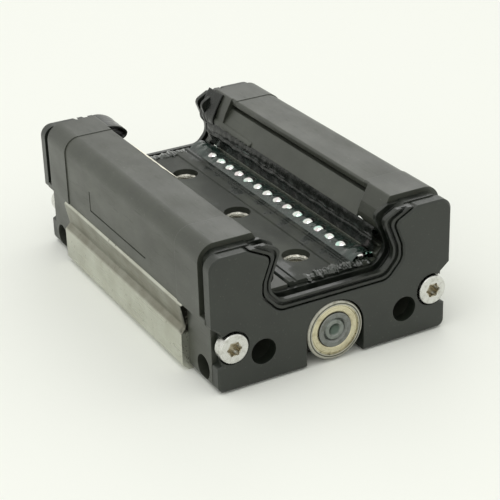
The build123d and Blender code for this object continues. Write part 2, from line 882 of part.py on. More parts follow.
os.makedirs("parts", exist_ok=True)
for name, shape in carriage().items():
    whole = Compound(children=shape) if isinstance(shape, list) else shape
    export_step(whole, f"parts/{name}.step")
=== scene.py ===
# %% [markdown]
# # Dressing a ball rail carriage
#
# The carriage rides on a profiled rail. A ground steel body carries the load, moulded plastic
# parts lead the balls round, and rubber wipers keep dirt out. All of its solids come from the CAD
# frame, at their real size and place. This file gives each one its finish, and adds the grease,
# the threads and the torn rubber that only a mesh shows well. Everything is in metres, so
# millimetres are written through one factor.

# %% Load the frame
import math

import bpy
from mathutils import Matrix, Vector, noise


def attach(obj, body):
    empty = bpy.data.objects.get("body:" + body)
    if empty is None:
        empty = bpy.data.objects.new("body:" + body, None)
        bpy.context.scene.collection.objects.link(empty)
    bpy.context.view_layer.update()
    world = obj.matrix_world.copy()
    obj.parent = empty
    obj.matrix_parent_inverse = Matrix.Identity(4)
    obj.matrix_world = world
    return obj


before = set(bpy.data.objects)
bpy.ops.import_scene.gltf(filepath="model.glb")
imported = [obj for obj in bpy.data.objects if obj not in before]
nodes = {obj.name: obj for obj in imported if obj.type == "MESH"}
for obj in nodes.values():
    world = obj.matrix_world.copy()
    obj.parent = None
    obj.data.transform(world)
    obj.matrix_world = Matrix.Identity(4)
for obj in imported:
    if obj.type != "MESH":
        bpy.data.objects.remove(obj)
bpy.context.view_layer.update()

MM = 0.001
BODY = "carriage"
print("solids in the frame:", len(nodes))

# %% [markdown]
# ## The camera
#
# A product photograph fixes the viewpoint by its straight edges: the two ends of the carriage, the
# ground sides and the channel. Matching them gave the place, the aim and a slight roll of the
# camera. A long lens keeps the perspective mild. A camera looks along its own -Z, so its rotation
# matrix is built from the right, up and backward directions, which is easier to follow than three
# angles.

# %% Place the camera
CAMERA_PLACE = Vector((-119.755, -228.326, 132.067)) * MM
CAMERA_AIM = Vector((0.123, -5.5, 8.631)) * MM
CAMERA_ROLL = -0.03115
LENS = 109.73
SENSOR = 36.0


def camera_matrix(place, aim, roll):
    forward = (aim - place).normalized()
    right = forward.cross(Vector((0, 0, 1))).normalized()
    up = right.cross(forward)
    rolled_right = math.cos(roll) * right + math.sin(roll) * up
    rolled_up = math.cos(roll) * up - math.sin(roll) * right
    turn = Matrix((rolled_right, rolled_up, -forward)).transposed()
    return Matrix.Translation(place) @ turn.to_4x4()


camera = bpy.data.objects.new("photo_camera", bpy.data.cameras.new("photo_camera"))
bpy.context.scene.collection.objects.link(camera)
camera.data.lens = LENS
camera.data.sensor_width = SENSOR
camera.data.clip_start = 0.01
camera.matrix_world = camera_matrix(CAMERA_PLACE, CAMERA_AIM, CAMERA_ROLL)
bpy.context.scene.camera = camera
print("camera distance in mm:", round((CAMERA_PLACE - CAMERA_AIM).length / MM, 1))

# %% [markdown]
# ## Floor, surroundings and lamps
#
# The photograph was taken on a white sweep in a bright, even room. Black plastic shows little
# colour of its own, so most of what the eye reads on it is the reflection of that room, weak where
# a face looks straight at the camera and strong where it is seen at a slant. An even pale world
# gives this by itself. One large lamp overhead adds a direction, and a smaller one behind draws
# light along the far edges.

# %% Build the white sweep
FLOOR_HALF = 1.6
SWEEP_WHITE = (0.87, 0.88, 0.845, 1)
ROOM_WHITE = (0.913, 0.92, 0.872, 1)


def white_floor():
    sheet = bpy.data.meshes.new("floor")
    corners = [(-1, -1), (1, -1), (1, 1), (-1, 1)]
    sheet.from_pydata([(x * FLOOR_HALF, y * FLOOR_HALF, 0) for x, y in corners], [], [(0, 1, 2, 3)])
    floor = bpy.data.objects.new("floor", sheet)
    bpy.context.scene.collection.objects.link(floor)
    paper = bpy.data.materials.new("white_sweep")
    paper.use_nodes = True
    skin = paper.node_tree.nodes["Principled BSDF"]
    skin.inputs["Base Color"].default_value = SWEEP_WHITE
    skin.inputs["Roughness"].default_value = 0.75
    skin.inputs["Specular IOR Level"].default_value = 0.2
    sheet.materials.append(paper)


def pale_room(strength):
    room = bpy.data.worlds.new("pale_room")
    room.use_nodes = True
    air = room.node_tree.nodes["Background"]
    air.inputs["Color"].default_value = ROOM_WHITE
    air.inputs["Strength"].default_value = strength
    bpy.context.scene.world = room


white_floor()
pale_room(1.0)
bpy.context.scene.view_settings.view_transform = "Standard"
print("floor of", 2 * FLOOR_HALF, "m under an even pale room")

# %% Hang the lamps
def softbox(name, place, aim, size, power):
    """A square lamp that looks from its place at its aim."""
    lamp = bpy.data.lights.new(name, "AREA")
    lamp.shape = "SQUARE"
    lamp.size = size
    lamp.energy = power
    holder = bpy.data.objects.new(name, lamp)
    holder.matrix_world = camera_matrix(Vector(place), Vector(aim), 0.0)
    bpy.context.scene.collection.objects.link(holder)


MIDDLE = Vector((0, 0, 0.012))
softbox("overhead_softbox", (-0.22, -0.1, 0.75), MIDDLE, size=0.5, power=1.2)
softbox("far_edge_softbox", (0.42, 0.66, 0.5), MIDDLE, size=0.3, power=0.35)

# %% [markdown]
# ## How a finish is put together
#
# Every finish below is a small node tree: a shader, some clouds and streaks that vary its colour
# and its gloss, and a bump for what is too fine to model. The helpers keep those trees readable.
# Patterns hang on the object's own coordinates in metres, so a size in millimetres means the same
# thing on every piece.

# %% Node helpers
def new_finish(name, colour, roughness, metallic=0.0):
    finish = bpy.data.materials.new(name)
    finish.use_nodes = True
    skin = finish.node_tree.nodes["Principled BSDF"]
    skin.inputs["Base Color"].default_value = (*colour, 1)
    skin.inputs["Roughness"].default_value = roughness
    skin.inputs["Metallic"].default_value = metallic
    return finish, skin


def add(finish, kind, inputs=None, **settings):
    """A node of that kind. An input is given a value, or the socket that feeds it."""
    made = finish.node_tree.nodes.new("ShaderNode" + kind)
    for key, value in settings.items():
        setattr(made, key, value)
    for key, value in (inputs or {}).items():
        feed(finish, made.inputs[key], value)
    return made


def feed(finish, socket, value):
    if isinstance(value, bpy.types.NodeSocket):
        finish.node_tree.links.new(value, socket)
    else:
        socket.default_value = value


print("node helpers ready")

# %% Patterns on a piece
CLOUD_ROUGHNESS = 0.55


def clouds(finish, size, detail=4.0, stretch=(1, 1, 1)):
    """Soft noise, 0 to 1, whose patches are about that size."""
    where = add(finish, "TexCoord").outputs["Object"]
    at = add(finish, "Mapping", {"Vector": where, "Scale": stretch}).outputs["Vector"]
    made = add(finish, "TexNoise", {"Vector": at, "Scale": 1 / size, "Detail": detail,
                                    "Roughness": CLOUD_ROUGHNESS})
    return made.outputs["Fac"]


def coordinate(finish, axis):
    """One coordinate of the place on the piece, in metres."""
    place = add(finish, "TexCoord").outputs["Object"]
    return add(finish, "SeparateXYZ", {0: place}).outputs[axis]


print("patterns ready, cloud roughness", CLOUD_ROUGHNESS)

# %% Mixing and arithmetic
def between(finish, value, low, high, to_low=0.0, to_high=1.0):
    """Rises from to_low to to_high while the value goes from low to high."""
    made = add(finish, "MapRange", {"Value": value, "From Min": low, "From Max": high,
                                    "To Min": to_low, "To Max": to_high})
    return made.outputs["Result"]


# A Mix node has sockets for every kind of data. These are the numbers of its colour sockets.
MIX_SHARE, MIX_FIRST, MIX_SECOND, MIX_RESULT = 0, 6, 7, 2


def mixed(finish, share, first, second):
    """The first colour where the share is 0 and the second where it is 1."""
    made = add(finish, "Mix", data_type="RGBA")
    feed(finish, made.inputs[MIX_SHARE], share)
    for number, colour in ((MIX_FIRST, first), (MIX_SECOND, second)):
        from_socket = isinstance(colour, bpy.types.NodeSocket)
        feed(finish, made.inputs[number], colour if from_socket else (*colour, 1))
    return made.outputs[MIX_RESULT]


def product(finish, first, second):
    return add(finish, "Math", {0: first, 1: second}, operation="MULTIPLY").outputs[0]


def total(finish, first, second):
    return add(finish, "Math", {0: first, 1: second}, operation="ADD").outputs[0]


print("mixing helpers ready")

# %% [markdown]
# ## Edges that are not razor sharp
#
# A moulded or ground edge always has a tiny radius that catches light, and it is the first place
# to wear. The CAD edges are sharp. A Bevel node rounds the shading without touching the mesh, and
# the difference between its direction and the true one tells where an edge is, so the same node
# also gives the wear.

# %% Edge helpers
BEVEL_SAMPLES = 6
WEAR_REACH = 0.12


def rounded_edges(finish, radius):
    return add(finish, "Bevel", {"Radius": radius}, samples=BEVEL_SAMPLES).outputs["Normal"]


def near_an_edge(finish, radius):
    """1 on an edge and 0 on a flat face."""
    rounded = rounded_edges(finish, radius)
    true_way = add(finish, "NewGeometry").outputs["Normal"]
    alike = add(finish, "VectorMath", {0: rounded, 1: true_way}, operation="DOT_PRODUCT")
    return between(finish, alike.outputs["Value"], 1 - WEAR_REACH, 1.0, 1.0, 0.0)


def relief(finish, skin, height, depth, edge_radius):
    """Bump of that depth in metres on top of the rounded edges."""
    made = add(finish, "Bump", {"Height": height, "Distance": depth, "Strength": 1.0,
                                "Normal": rounded_edges(finish, edge_radius)})
    feed(finish, skin.inputs["Normal"], made.outputs["Normal"])


print("edge helpers ready")

# %% [markdown]
# ## Ground steel
#
# Two bright bands along the body are ground: the wheel leaves fine lines along the travel. The
# relieved band between them was only milled and then stained by oil, so it is darker and duller.
# Height on the piece picks the band. Noise that is stretched thirty times along Y makes the
# grinding lines, and slow clouds stain the surface a little. Oil that seeps out of the front cap
# has blackened the end of the milled band.

# %% Ground steel finish
GROUND_BAND_TOP = 7.1 * MM
LEDGE_LIP = 12.3 * MM
STEEL_FRONT = -24.9 * MM
OIL_REACH = 1.3 * MM
ALONG_TRAVEL = (1, 0.03, 1)
GROUND_CLEAN, GROUND_STAINED = (0.56, 0.57, 0.50), (0.45, 0.45, 0.38)
MILLED_CLEAN, MILLED_STAINED = (0.30, 0.30, 0.255), (0.20, 0.19, 0.15)
SPECK_BROWN = (0.13, 0.11, 0.08)
OIL_BLACK = (0.02, 0.02, 0.016)


def milled_band(finish):
    """1 on the relieved band between the two ground ones."""
    height = coordinate(finish, "Z")
    above = between(finish, height, GROUND_BAND_TOP - 0.1 * MM, GROUND_BAND_TOP + 0.25 * MM)
    below = between(finish, height, LEDGE_LIP, LEDGE_LIP + 0.2 * MM, 1.0, 0.0)
    return product(finish, above, below)


def oily_end(finish):
    """1 in the patches that oil has blackened at the front end of the steel."""
    reach = between(finish, coordinate(finish, "Y"), STEEL_FRONT, STEEL_FRONT + OIL_REACH, 1.0, 0.0)
    return product(finish, reach, between(finish, clouds(finish, 1.6 * MM, 4.0), 0.38, 0.52))


def ground_steel():
    finish, skin = new_finish("ground_steel", (0.52, 0.53, 0.44), 0.3, 1.0)
    lines = clouds(finish, 0.28 * MM, 3.0, ALONG_TRAVEL)
    stains = between(finish, clouds(finish, 5 * MM, 5.0), 0.35, 0.75)
    specks = between(finish, clouds(finish, 0.7 * MM, 2.0), 0.66, 0.72)
    relieved = milled_band(finish)
    ground = mixed(finish, stains, GROUND_CLEAN, GROUND_STAINED)
    milled = mixed(finish, stains, MILLED_CLEAN, MILLED_STAINED)
    colour = mixed(finish, relieved, ground, milled)
    colour = mixed(finish, product(finish, specks, 0.5), colour, SPECK_BROWN)
    colour = mixed(finish, product(finish, oily_end(finish), relieved), colour, OIL_BLACK)
    feed(finish, skin.inputs["Base Color"], colour)
    gloss = between(finish, lines, 0.3, 0.7, 0.24, 0.4)
    feed(finish, skin.inputs["Roughness"], total(finish, gloss, product(finish, relieved, 0.12)))
    relief(finish, skin, lines, 0.006 * MM, 0.12 * MM)
    return finish


steel_finish = ground_steel()
print("finish:", steel_finish.name)

# %% [markdown]
# ## Black moulded plastic
#
# Covers, caps, end plates and the channel floor are glass-filled black plastic. The mould was
# spark eroded, which leaves a fine grain, and handling leaves an oil film, hairline scratches and
# a little dust. One function makes all of them, because they differ only in how dark, how glossy
# and how greasy they are.

# %% Black plastic finishes
DUST_GREY = (0.25, 0.25, 0.22)
PLASTIC_IOR = 1.55


def black_plastic(name, colour, roughness, grain, dust, film):
    """Grain is the depth of the eroded texture; dust and film go from 0 to 1."""
    finish, skin = new_finish(name, colour, roughness)
    pale = tuple(min(1.0, 2.0 * c + 0.02) for c in colour)
    patches = between(finish, clouds(finish, 7 * MM, 4.0), 0.35, 0.7)
    tint = mixed(finish, patches, colour, tuple(1.35 * c for c in colour))
    dusty = between(finish, clouds(finish, 0.35 * MM, 1.0), 0.7, 0.76)
    tint = mixed(finish, product(finish, dusty, dust), tint, DUST_GREY)
    rubbed = between(finish, clouds(finish, 1.5 * MM), 0.4, 0.6)
    worn = product(finish, near_an_edge(finish, 0.16 * MM), rubbed)
    tint = mixed(finish, product(finish, worn, 0.55), tint, pale)
    feed(finish, skin.inputs["Base Color"], tint)
    hairlines = clouds(finish, 0.22 * MM, 2.0, (1, 0.06, 1))
    smears = clouds(finish, 4.5 * MM, 5.0, (1, 0.5, 1))
    gloss = between(finish, smears, 0.3, 0.7, roughness - 0.07, roughness + 0.07)
    gloss = total(finish, gloss, between(finish, hairlines, 0.62, 0.7, 0.0, 0.1))
    feed(finish, skin.inputs["Roughness"], gloss)
    skin.inputs["IOR"].default_value = PLASTIC_IOR
    skin.inputs["Coat Weight"].default_value = film
    skin.inputs["Coat Roughness"].default_value = 0.22
    relief(finish, skin, clouds(finish, 0.16 * MM, 2.0), grain, 0.15 * MM)
    return finish


cover_finish = black_plastic("cover_plastic", (0.034, 0.037, 0.028), 0.42,
                             grain=0.006 * MM, dust=0.25, film=0.1)
cap_finish = black_plastic("cap_plastic", (0.031, 0.034, 0.026), 0.4,
                           grain=0.005 * MM, dust=0.2, film=0.12)
plate_finish = black_plastic("plate_plastic", (0.012, 0.015, 0.011), 0.36,
                             grain=0.007 * MM, dust=0.12, film=0.0)
strip_finish = black_plastic("strip_plastic", (0.042, 0.046, 0.036), 0.46,
                             grain=0.005 * MM, dust=0.1, film=0.1)
print("finishes:", cover_finish.name, cap_finish.name, plate_finish.name, strip_finish.name)

# %% [markdown]
# ## The channel floor
#
# The floor plate is the same plastic, but grease has crept over it from the ball rows and the
# fingers of whoever fitted it. The greasy patches are darker and glossier. They are strongest
# beside the rows, so the distance from the middle of the channel decides how much of the cloud
# pattern turns into grease. Paler scuffs, drawn out along the travel, show where rails have been
# pushed in askew.

# %% Greasy floor finish
ROW_SIDE = 6.8 * MM
SCUFF_GREY = (0.062, 0.068, 0.055)
GREASE_DARK = (0.012, 0.016, 0.013)


def greasy_floor():
    finish = black_plastic("floor_plastic", (0.022, 0.025, 0.02), 0.5,
                           grain=0.005 * MM, dust=0.3, film=0.0)
    skin = finish.node_tree.nodes["Principled BSDF"]
    across = add(finish, "Math", {0: coordinate(finish, "X")}, operation="ABSOLUTE").outputs[0]
    beside = between(finish, across, 1.5 * MM, ROW_SIDE, -0.12, 0.16)
    wet = between(finish, total(finish, clouds(finish, 4 * MM, 5.0), beside), 0.5, 0.62)
    scuffs = between(finish, clouds(finish, 7 * MM, 6.0, (1, 0.45, 1)), 0.46, 0.62)
    bare_colour = skin.inputs["Base Color"].links[0].from_socket
    dry_colour = mixed(finish, product(finish, scuffs, 0.7), bare_colour, SCUFF_GREY)
    feed(finish, skin.inputs["Base Color"], mixed(finish, wet, dry_colour, GREASE_DARK))
    feed(finish, skin.inputs["Roughness"], between(finish, wet, 0.0, 1.0, 0.5, 0.22))
    skin.inputs["Specular IOR Level"].default_value = 0.3
    return finish


floor_finish = greasy_floor()
print("finish:", floor_finish.name)

# %% [markdown]
# ## Wiper rubber
#
# The double-lip wipers are black rubber that never dries: they carry a grease film, so they show
# narrow, broken highlights. The film is a coat over a dull base, and uneven swellings in the bump
# break the highlight up as a real greasy lip does.

# %% Greasy rubber finish
DRY_RUBBER, WET_RUBBER = (0.018, 0.021, 0.016), (0.006, 0.008, 0.006)


def greasy_rubber():
    finish, skin = new_finish("wiper_rubber", (0.012, 0.012, 0.011), 0.45)
    wet = between(finish, clouds(finish, 2.2 * MM, 4.0), 0.35, 0.6)
    feed(finish, skin.inputs["Base Color"], mixed(finish, wet, DRY_RUBBER, WET_RUBBER))
    feed(finish, skin.inputs["Roughness"], between(finish, wet, 0.0, 1.0, 0.52, 0.3))
    skin.inputs["Specular IOR Level"].default_value = 0.4
    skin.inputs["Coat Weight"].default_value = 0.3
    skin.inputs["Coat Roughness"].default_value = 0.12
    small = product(finish, clouds(finish, 0.35 * MM), 0.35)
    swellings = total(finish, clouds(finish, 1.3 * MM, 3.0), small)
    relief(finish, skin, swellings, 0.06 * MM, 0.25 * MM)
    return finish


rubber_finish = greasy_rubber()
print("finish:", rubber_finish.name)

# %% [markdown]
# ## Grease
#
# Rail grease is dark green with a wet skin. It is nearly opaque at this thickness, so a dark base
# under a smooth coat is enough, and no light needs to pass through it. Two bump sizes give slow
# folds and the small pits that bubbles leave. Three kinds are needed: green in the upper rows, a
# duller black in the deep grooves, and a wetter one at the ends, where fresh grease is pushed out.

# %% Grease finish
GREASE_IOR = 1.48


def grease(name, colour, folds, wetness):
    """Folds is their depth, and wetness goes from 0 to 1."""
    finish, skin = new_finish(name, colour, 0.3)
    pale = tuple(2.2 * c for c in colour)
    thick = between(finish, clouds(finish, 1.8 * MM, 4.0), 0.35, 0.65)
    feed(finish, skin.inputs["Base Color"], mixed(finish, thick, colour, pale))
    feed(finish, skin.inputs["Roughness"], between(finish, thick, 0.0, 1.0, 0.16, 0.34))
    skin.inputs["IOR"].default_value = GREASE_IOR
    skin.inputs["Coat Weight"].default_value = wetness
    skin.inputs["Specular IOR Level"].default_value = 0.25 + 0.4 * wetness
    skin.inputs["Coat Roughness"].default_value = 0.08
    pits = product(finish, clouds(finish, 0.3 * MM, 2.0), 0.3)
    swells = total(finish, clouds(finish, 1.1 * MM, 3.0), pits)
    relief(finish, skin, swells, folds, 0.1 * MM)
    return finish


green_grease = grease("green_grease", (0.006, 0.014, 0.011), folds=0.18 * MM, wetness=0.6)
black_grease = grease("black_grease", (0.005, 0.006, 0.005), folds=0.1 * MM, wetness=0.15)
wet_grease = grease("wet_grease", (0.008, 0.011, 0.008), folds=0.12 * MM, wetness=0.9)
print("finishes:", green_grease.name, black_grease.name, wet_grease.name)

# %% [markdown]
# ## Balls
#
# The balls are polished bearing steel. A mirror shows only its surroundings: the bright room
# through the channel opening makes one white spot on each ball, and the black walls make the rest
# of it dark. An oil film a few wavelengths thick tints the spots green or pink, which a slow
# colour noise stands in for.

# %% Polished ball finish
BALL_WHITE = (0.84, 0.86, 0.83)
FILM_GREEN = (0.62, 0.84, 0.77)
FILM_PINK = (0.86, 0.72, 0.77)


def polished_balls():
    finish, skin = new_finish("ball_steel", (0.86, 0.88, 0.86), 0.05, 1.0)
    film = clouds(finish, 1.4 * MM, 2.0)
    green = between(finish, film, 0.38, 0.48, 1.0, 0.0)
    pink = between(finish, film, 0.54, 0.64)
    tint = mixed(finish, green, BALL_WHITE, FILM_GREEN)
    tint = mixed(finish, product(finish, pink, 0.7), tint, FILM_PINK)
    feed(finish, skin.inputs["Base Color"], tint)
    smears = clouds(finish, 0.6 * MM)
    feed(finish, skin.inputs["Roughness"], between(finish, smears, 0.3, 0.7, 0.03, 0.09))
    return finish


ball_finish = polished_balls()
print("finish:", ball_finish.name)

# %% [markdown]
# ## Turned metal
#
# Screws, bearing rings, shields and the pin were all made on a lathe or pressed round, so their
# marks are circles. Each of these pieces is centred in its own box, so the distance from the
# middle of that box is the radius, and noise read along it gives rings. Grime gathers in the low
# places and is mixed in on top.

# %% Turned metal finishes
BOX_MIDDLE = (0.5, 0.5, 0.5)
ACROSS_AXIS = (2, 0, 2)


def radius_on_piece(finish):
    """0 in the middle of a round piece and 1 at its rim, for a piece whose axis lies along Y."""
    where = add(finish, "TexCoord").outputs["Generated"]
    centred = add(finish, "VectorMath", {0: where, 1: BOX_MIDDLE}, operation="SUBTRACT")
    flat = add(finish, "VectorMath", {0: centred.outputs[0], 1: ACROSS_AXIS}, operation="MULTIPLY")
    return add(finish, "VectorMath", {0: flat.outputs[0]}, operation="LENGTH").outputs["Value"]


def turned_metal(name, colour, grime, roughness, rings, mark_depth):
    """Rings is about how many circles the marks make from the middle to the rim."""
    finish, skin = new_finish(name, colour, roughness, 1.0)
    radius = radius_on_piece(finish)
    marks = add(finish, "TexNoise", {"W": radius, "Scale": rings, "Detail": 2.0},
                noise_dimensions="1D").outputs["Fac"]
    dirty = between(finish, clouds(finish, 0.9 * MM, 4.0), 0.5, 0.68)
    dark = tuple(0.82 * c for c in colour)
    shade = mixed(finish, between(finish, marks, 0.3, 0.7), dark, colour)
    shade = mixed(finish, product(finish, dirty, 0.45), shade, grime)
    feed(finish, skin.inputs["Base Color"], shade)
    gloss = between(finish, marks, 0.3, 0.7, roughness, roughness + 0.08)
    feed(finish, skin.inputs["Roughness"], total(finish, gloss, product(finish, dirty, 0.12)))
    relief(finish, skin, marks, mark_depth, 0.06 * MM)
    return finish, skin


screw_finish, screw_skin = turned_metal("screw_steel", (0.74, 0.74, 0.71), (0.3, 0.29, 0.25),
                                        roughness=0.22, rings=26, mark_depth=0.004 * MM)
ring_finish, ring_skin = turned_metal("ring_steel", (0.52, 0.51, 0.45), (0.2, 0.19, 0.14),
                                      roughness=0.26, rings=60, mark_depth=0.003 * MM)
shield_finish, _ = turned_metal("shield_metal", (0.70, 0.65, 0.46), (0.35, 0.3, 0.18),
                                roughness=0.24, rings=30, mark_depth=0.01 * MM)
bar_finish, _ = turned_metal("bar_steel", (0.26, 0.27, 0.23), (0.08, 0.08, 0.07),
                             roughness=0.32, rings=8, mark_depth=0.002 * MM)
inner_ring_finish, _ = turned_metal("inner_ring_steel", (0.24, 0.25, 0.24), (0.1, 0.1, 0.08),
                                    roughness=0.24, rings=60, mark_depth=0.003 * MM)
pin_finish, pin_skin = turned_metal("pin_steel", (0.27, 0.29, 0.27), (0.1, 0.12, 0.1),
                                    roughness=0.3, rings=24, mark_depth=0.004 * MM)
print("turned finishes:", screw_finish.name, ring_finish.name, shield_finish.name)

# %% Grime in sockets, grooves and the dimple of the pin
SOCKET_RIM, SOCKET_GRIME = 0.5, (0.40, 0.36, 0.27)
DIMPLE_RIM, DIMPLE_GREASE = 0.55, (0.10, 0.13, 0.11)
GROOVE_MIDDLE, GROOVE_HALF, GROOVE_GRIME = 0.9, 0.025, (0.09, 0.09, 0.07)


def soil(finish, skin, where, grime):
    """Lays grime over the colour a finish already has."""
    clean_colour = skin.inputs["Base Color"].links[0].from_socket
    feed(finish, skin.inputs["Base Color"], mixed(finish, where, clean_colour, grime))


def grime_in_the_middle(finish, skin, rim, grime):
    """Darkens a turned piece inside that share of its radius."""
    soil(finish, skin, between(finish, radius_on_piece(finish), rim - 0.1, rim, 1.0, 0.0), grime)


def grime_in_a_groove(finish, skin, middle, half_width, grime):
    """Darkens a turned piece in a thin ring at that share of its radius."""
    off_middle = add(finish, "Math", {0: radius_on_piece(finish), 1: middle}, operation="SUBTRACT")
    away = add(finish, "Math", {0: off_middle.outputs[0]}, operation="ABSOLUTE").outputs[0]
    soil(finish, skin, between(finish, away, 0.5 * half_width, half_width, 1.0, 0.0), grime)


grime_in_a_groove(ring_finish, ring_skin, GROOVE_MIDDLE, GROOVE_HALF, GROOVE_GRIME)
grime_in_the_middle(screw_finish, screw_skin, SOCKET_RIM, SOCKET_GRIME)
grime_in_the_middle(pin_finish, pin_skin, DIMPLE_RIM, DIMPLE_GREASE)
print("grime on:", ring_finish.name, screw_finish.name, pin_finish.name)

# %% [markdown]
# ## Dressing the solids
#
# A solid keeps its mesh. Only the material in its slots changes. Names ending alike share a
# finish, so a short table from the last words of a name to its finish covers every node. The first
# ending that fits is taken, so inner_ring stands before ring.

# %% Give every solid its finish
FINISH_OF = {
    "steel_body": steel_finish,
    "leg_cover": cover_finish,
    "seal_strip": strip_finish,
    "channel_floor_plate": floor_finish,
    "ball_bar": bar_finish,
    "end_cap": cap_finish,
    "turn_guides": cap_finish,
    "wiper": rubber_finish,
    "end_plate": plate_finish,
    "balls": ball_finish,
    "screw": screw_finish,
    "inner_ring": inner_ring_finish,
    "ring": ring_finish,
    "shield": shield_finish,
    "bearing_cage": shield_finish,
    "bearing_pin": pin_finish,
}

for name, solid in nodes.items():
    ending = next(e for e in FINISH_OF if name.endswith(e))
    for slot in solid.material_slots:
        slot.material = FINISH_OF[ending]
print("dressed solids:", len(nodes))

# %% [markdown]
# ## Making pieces from sheets
#
# Grease, threads and torn rubber are thin skins over the solids. Each one is a grid of points,
# worked out by a formula from a place along it and a place across it, so one helper turns any such
# formula into a mesh. Noise from a fixed formula moves the points, so every run gives the same
# shape.

# %% Sheet helper
def sheet_piece(name, point, along, across, finish, closed=False):
    """A grid mesh. point(u, v) gives a place for u along and v across, each from 0 to 1."""
    columns = across if closed else across + 1
    places = [point(i / along, j / across)
              for i in range(along + 1) for j in range(columns)]
    faces = []
    for i in range(along):
        for j in range(across):
            k = (j + 1) % columns
            here, beyond = i * columns, (i + 1) * columns
            faces.append((here + j, here + k, beyond + k, beyond + j))
    skin = bpy.data.meshes.new(name)
    skin.from_pydata(places, [], faces)
    skin.shade_smooth()
    skin.materials.append(finish)
    piece = bpy.data.objects.new(name, skin)
    bpy.context.scene.collection.objects.link(piece)
    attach(piece, BODY)
    print(name, "has", len(faces), "faces")
    return piece


def ripple(x, y, z, size):
    """Smooth noise from -1 to 1 whose waves are about that size.

    Pieces that should not look alike read it some millimetres apart.
    """
    return noise.noise(Vector((x, y, z)) / size)


print("sheet helper ready")

# %% [markdown]
# ## Grease between the upper balls
#
# Seen from above, each upper row lies in a bed of green grease that fills the gaps between the
# balls and leaves only their tops clear, so a ball reads as one small bright spot. The bed is a
# strip along the row. It starts on the lip of the channel floor, crowns over the row and ends at
# the ball bar. At both ends it heaps up over the balls that turn into the caps.

# %% Beds of grease
BED_HALF = 30.6 * MM
FRONT_HEAP_FROM = 26.3 * MM
REAR_HEAP_FROM = 24.6 * MM
HEAP_SLOPE = 1.5 * MM
END_HEAP = 0.7 * MM
LEFT_FRONT_END = 26.0 * MM
BED_INNER = (6.35 * MM, 15.07 * MM)
BED_OUTER = (10.8 * MM, 15.35 * MM)
BED_CROWN = 0.38 * MM
BED_LUMPS, BED_LUMP_SIZE = 0.2 * MM, 0.9 * MM


def along_row(side, share):
    """From the front end of a row, share 0, to its rear end. The left row is short at the front."""
    front = -BED_HALF if side > 0 else -LEFT_FRONT_END
    return front + (BED_HALF - front) * share


def grease_bed(side, name):
    def point(u, v):
        y = along_row(side, u)
        x = BED_INNER[0] + (BED_OUTER[0] - BED_INNER[0]) * v
        z = BED_INNER[1] + (BED_OUTER[1] - BED_INNER[1]) * v
        dip = math.sin(math.pi * v)
        z += dip * BED_CROWN
        z += dip * BED_LUMPS * ripple(x * side, y, 0, BED_LUMP_SIZE)
        past = abs(y) - (FRONT_HEAP_FROM if y < 0 else REAR_HEAP_FROM)
        z += math.sqrt(dip) * END_HEAP * min(1.0, max(0.0, past) / HEAP_SLOPE)
        return (side * x, y, z)

    sheet_piece(name, point, 260, 14, green_grease)


grease_bed(-1, "left_grease_bed")
grease_bed(1, "right_grease_bed")

# %% [markdown]
# ## Grease over the lower balls
#
# The lower rows sit deep under the seal strips. In the photograph they don't show as balls: a
# black film hangs from the strip to the ball bar and shines along a ragged line. A few corners, as
# x and z in millimetres, give its folds. A smooth line through them gives the section, and noise
# along the carriage makes the folds wander.

# %% Films of grease
FILM_FOLDS = [(10.9, 20.6), (10.55, 19.9), (10.45, 19.2), (10.5, 18.6),
              (10.25, 18.2), (10.62, 17.6), (10.76, 16.7), (10.7, 15.9)]
FOLD_GRAIN, FOLD_GRAIN_SIZE = 0.1 * MM, 1.5 * MM
FOLD_WANDER, FOLD_WANDER_SIZE = 0.3 * MM, 3 * MM


def on_smooth_line(corners, share):
    """A point on the smooth line through all the corners, from 0 at the first to 1 at the last."""
    steps = len(corners) - 1
    i = min(int(share * steps), steps - 1)
    t = share * steps - i
    before, start = corners[max(i - 1, 0)], corners[i]
    end, after = corners[i + 1], corners[min(i + 2, steps)]

    def blend(b, s, e, a):
        cubic = 3 * s - b - 3 * e + a
        square = 2 * b - 5 * s + 4 * e - a
        return 0.5 * (2 * s + t * (e - b + t * (square + t * cubic)))

    return [blend(*axis) for axis in zip(before, start, end, after)]


def grease_film(side, name):
    def point(u, v):
        y = along_row(side, u)
        x, z = on_smooth_line(FILM_FOLDS, v)
        loose = math.sin(math.pi * v)
        wander = FOLD_WANDER * ripple(y, 0, side * 5 * MM, FOLD_WANDER_SIZE) * loose
        ragged = FOLD_GRAIN * ripple(y, z * MM, side * 9 * MM, FOLD_GRAIN_SIZE) * loose
        return (side * (x * MM + ragged), y, z * MM + wander)

    sheet_piece(name, point, 340, 28, black_grease)


grease_film(-1, "left_grease_film")
grease_film(1, "right_grease_film")

# %% [markdown]
# ## Grease pushed to the ends
#
# The rail pushes old grease out against the wipers. There it stands in a lumpy dark ridge across
# the floor with dust and rubber crumbs in it. The ridge is a low arch swept across the channel,
# and two sizes of noise change its height and width.

# %% Ridges of old grease
FLOOR_Z = 14.7 * MM
RIDGE_Y = 30.6 * MM
RIDGE_HALF = 1.5 * MM
RIDGE_SUNK = 0.1 * MM
LUMP_SIZE, CRUMB_SIZE = 1.3 * MM, 0.45 * MM
WAVE_SIZE = 0.8 * MM
GRAIN_HEIGHT, GRAIN_SIZE = 0.12 * MM, 0.35 * MM
LOWEST_LUMP = 0.15


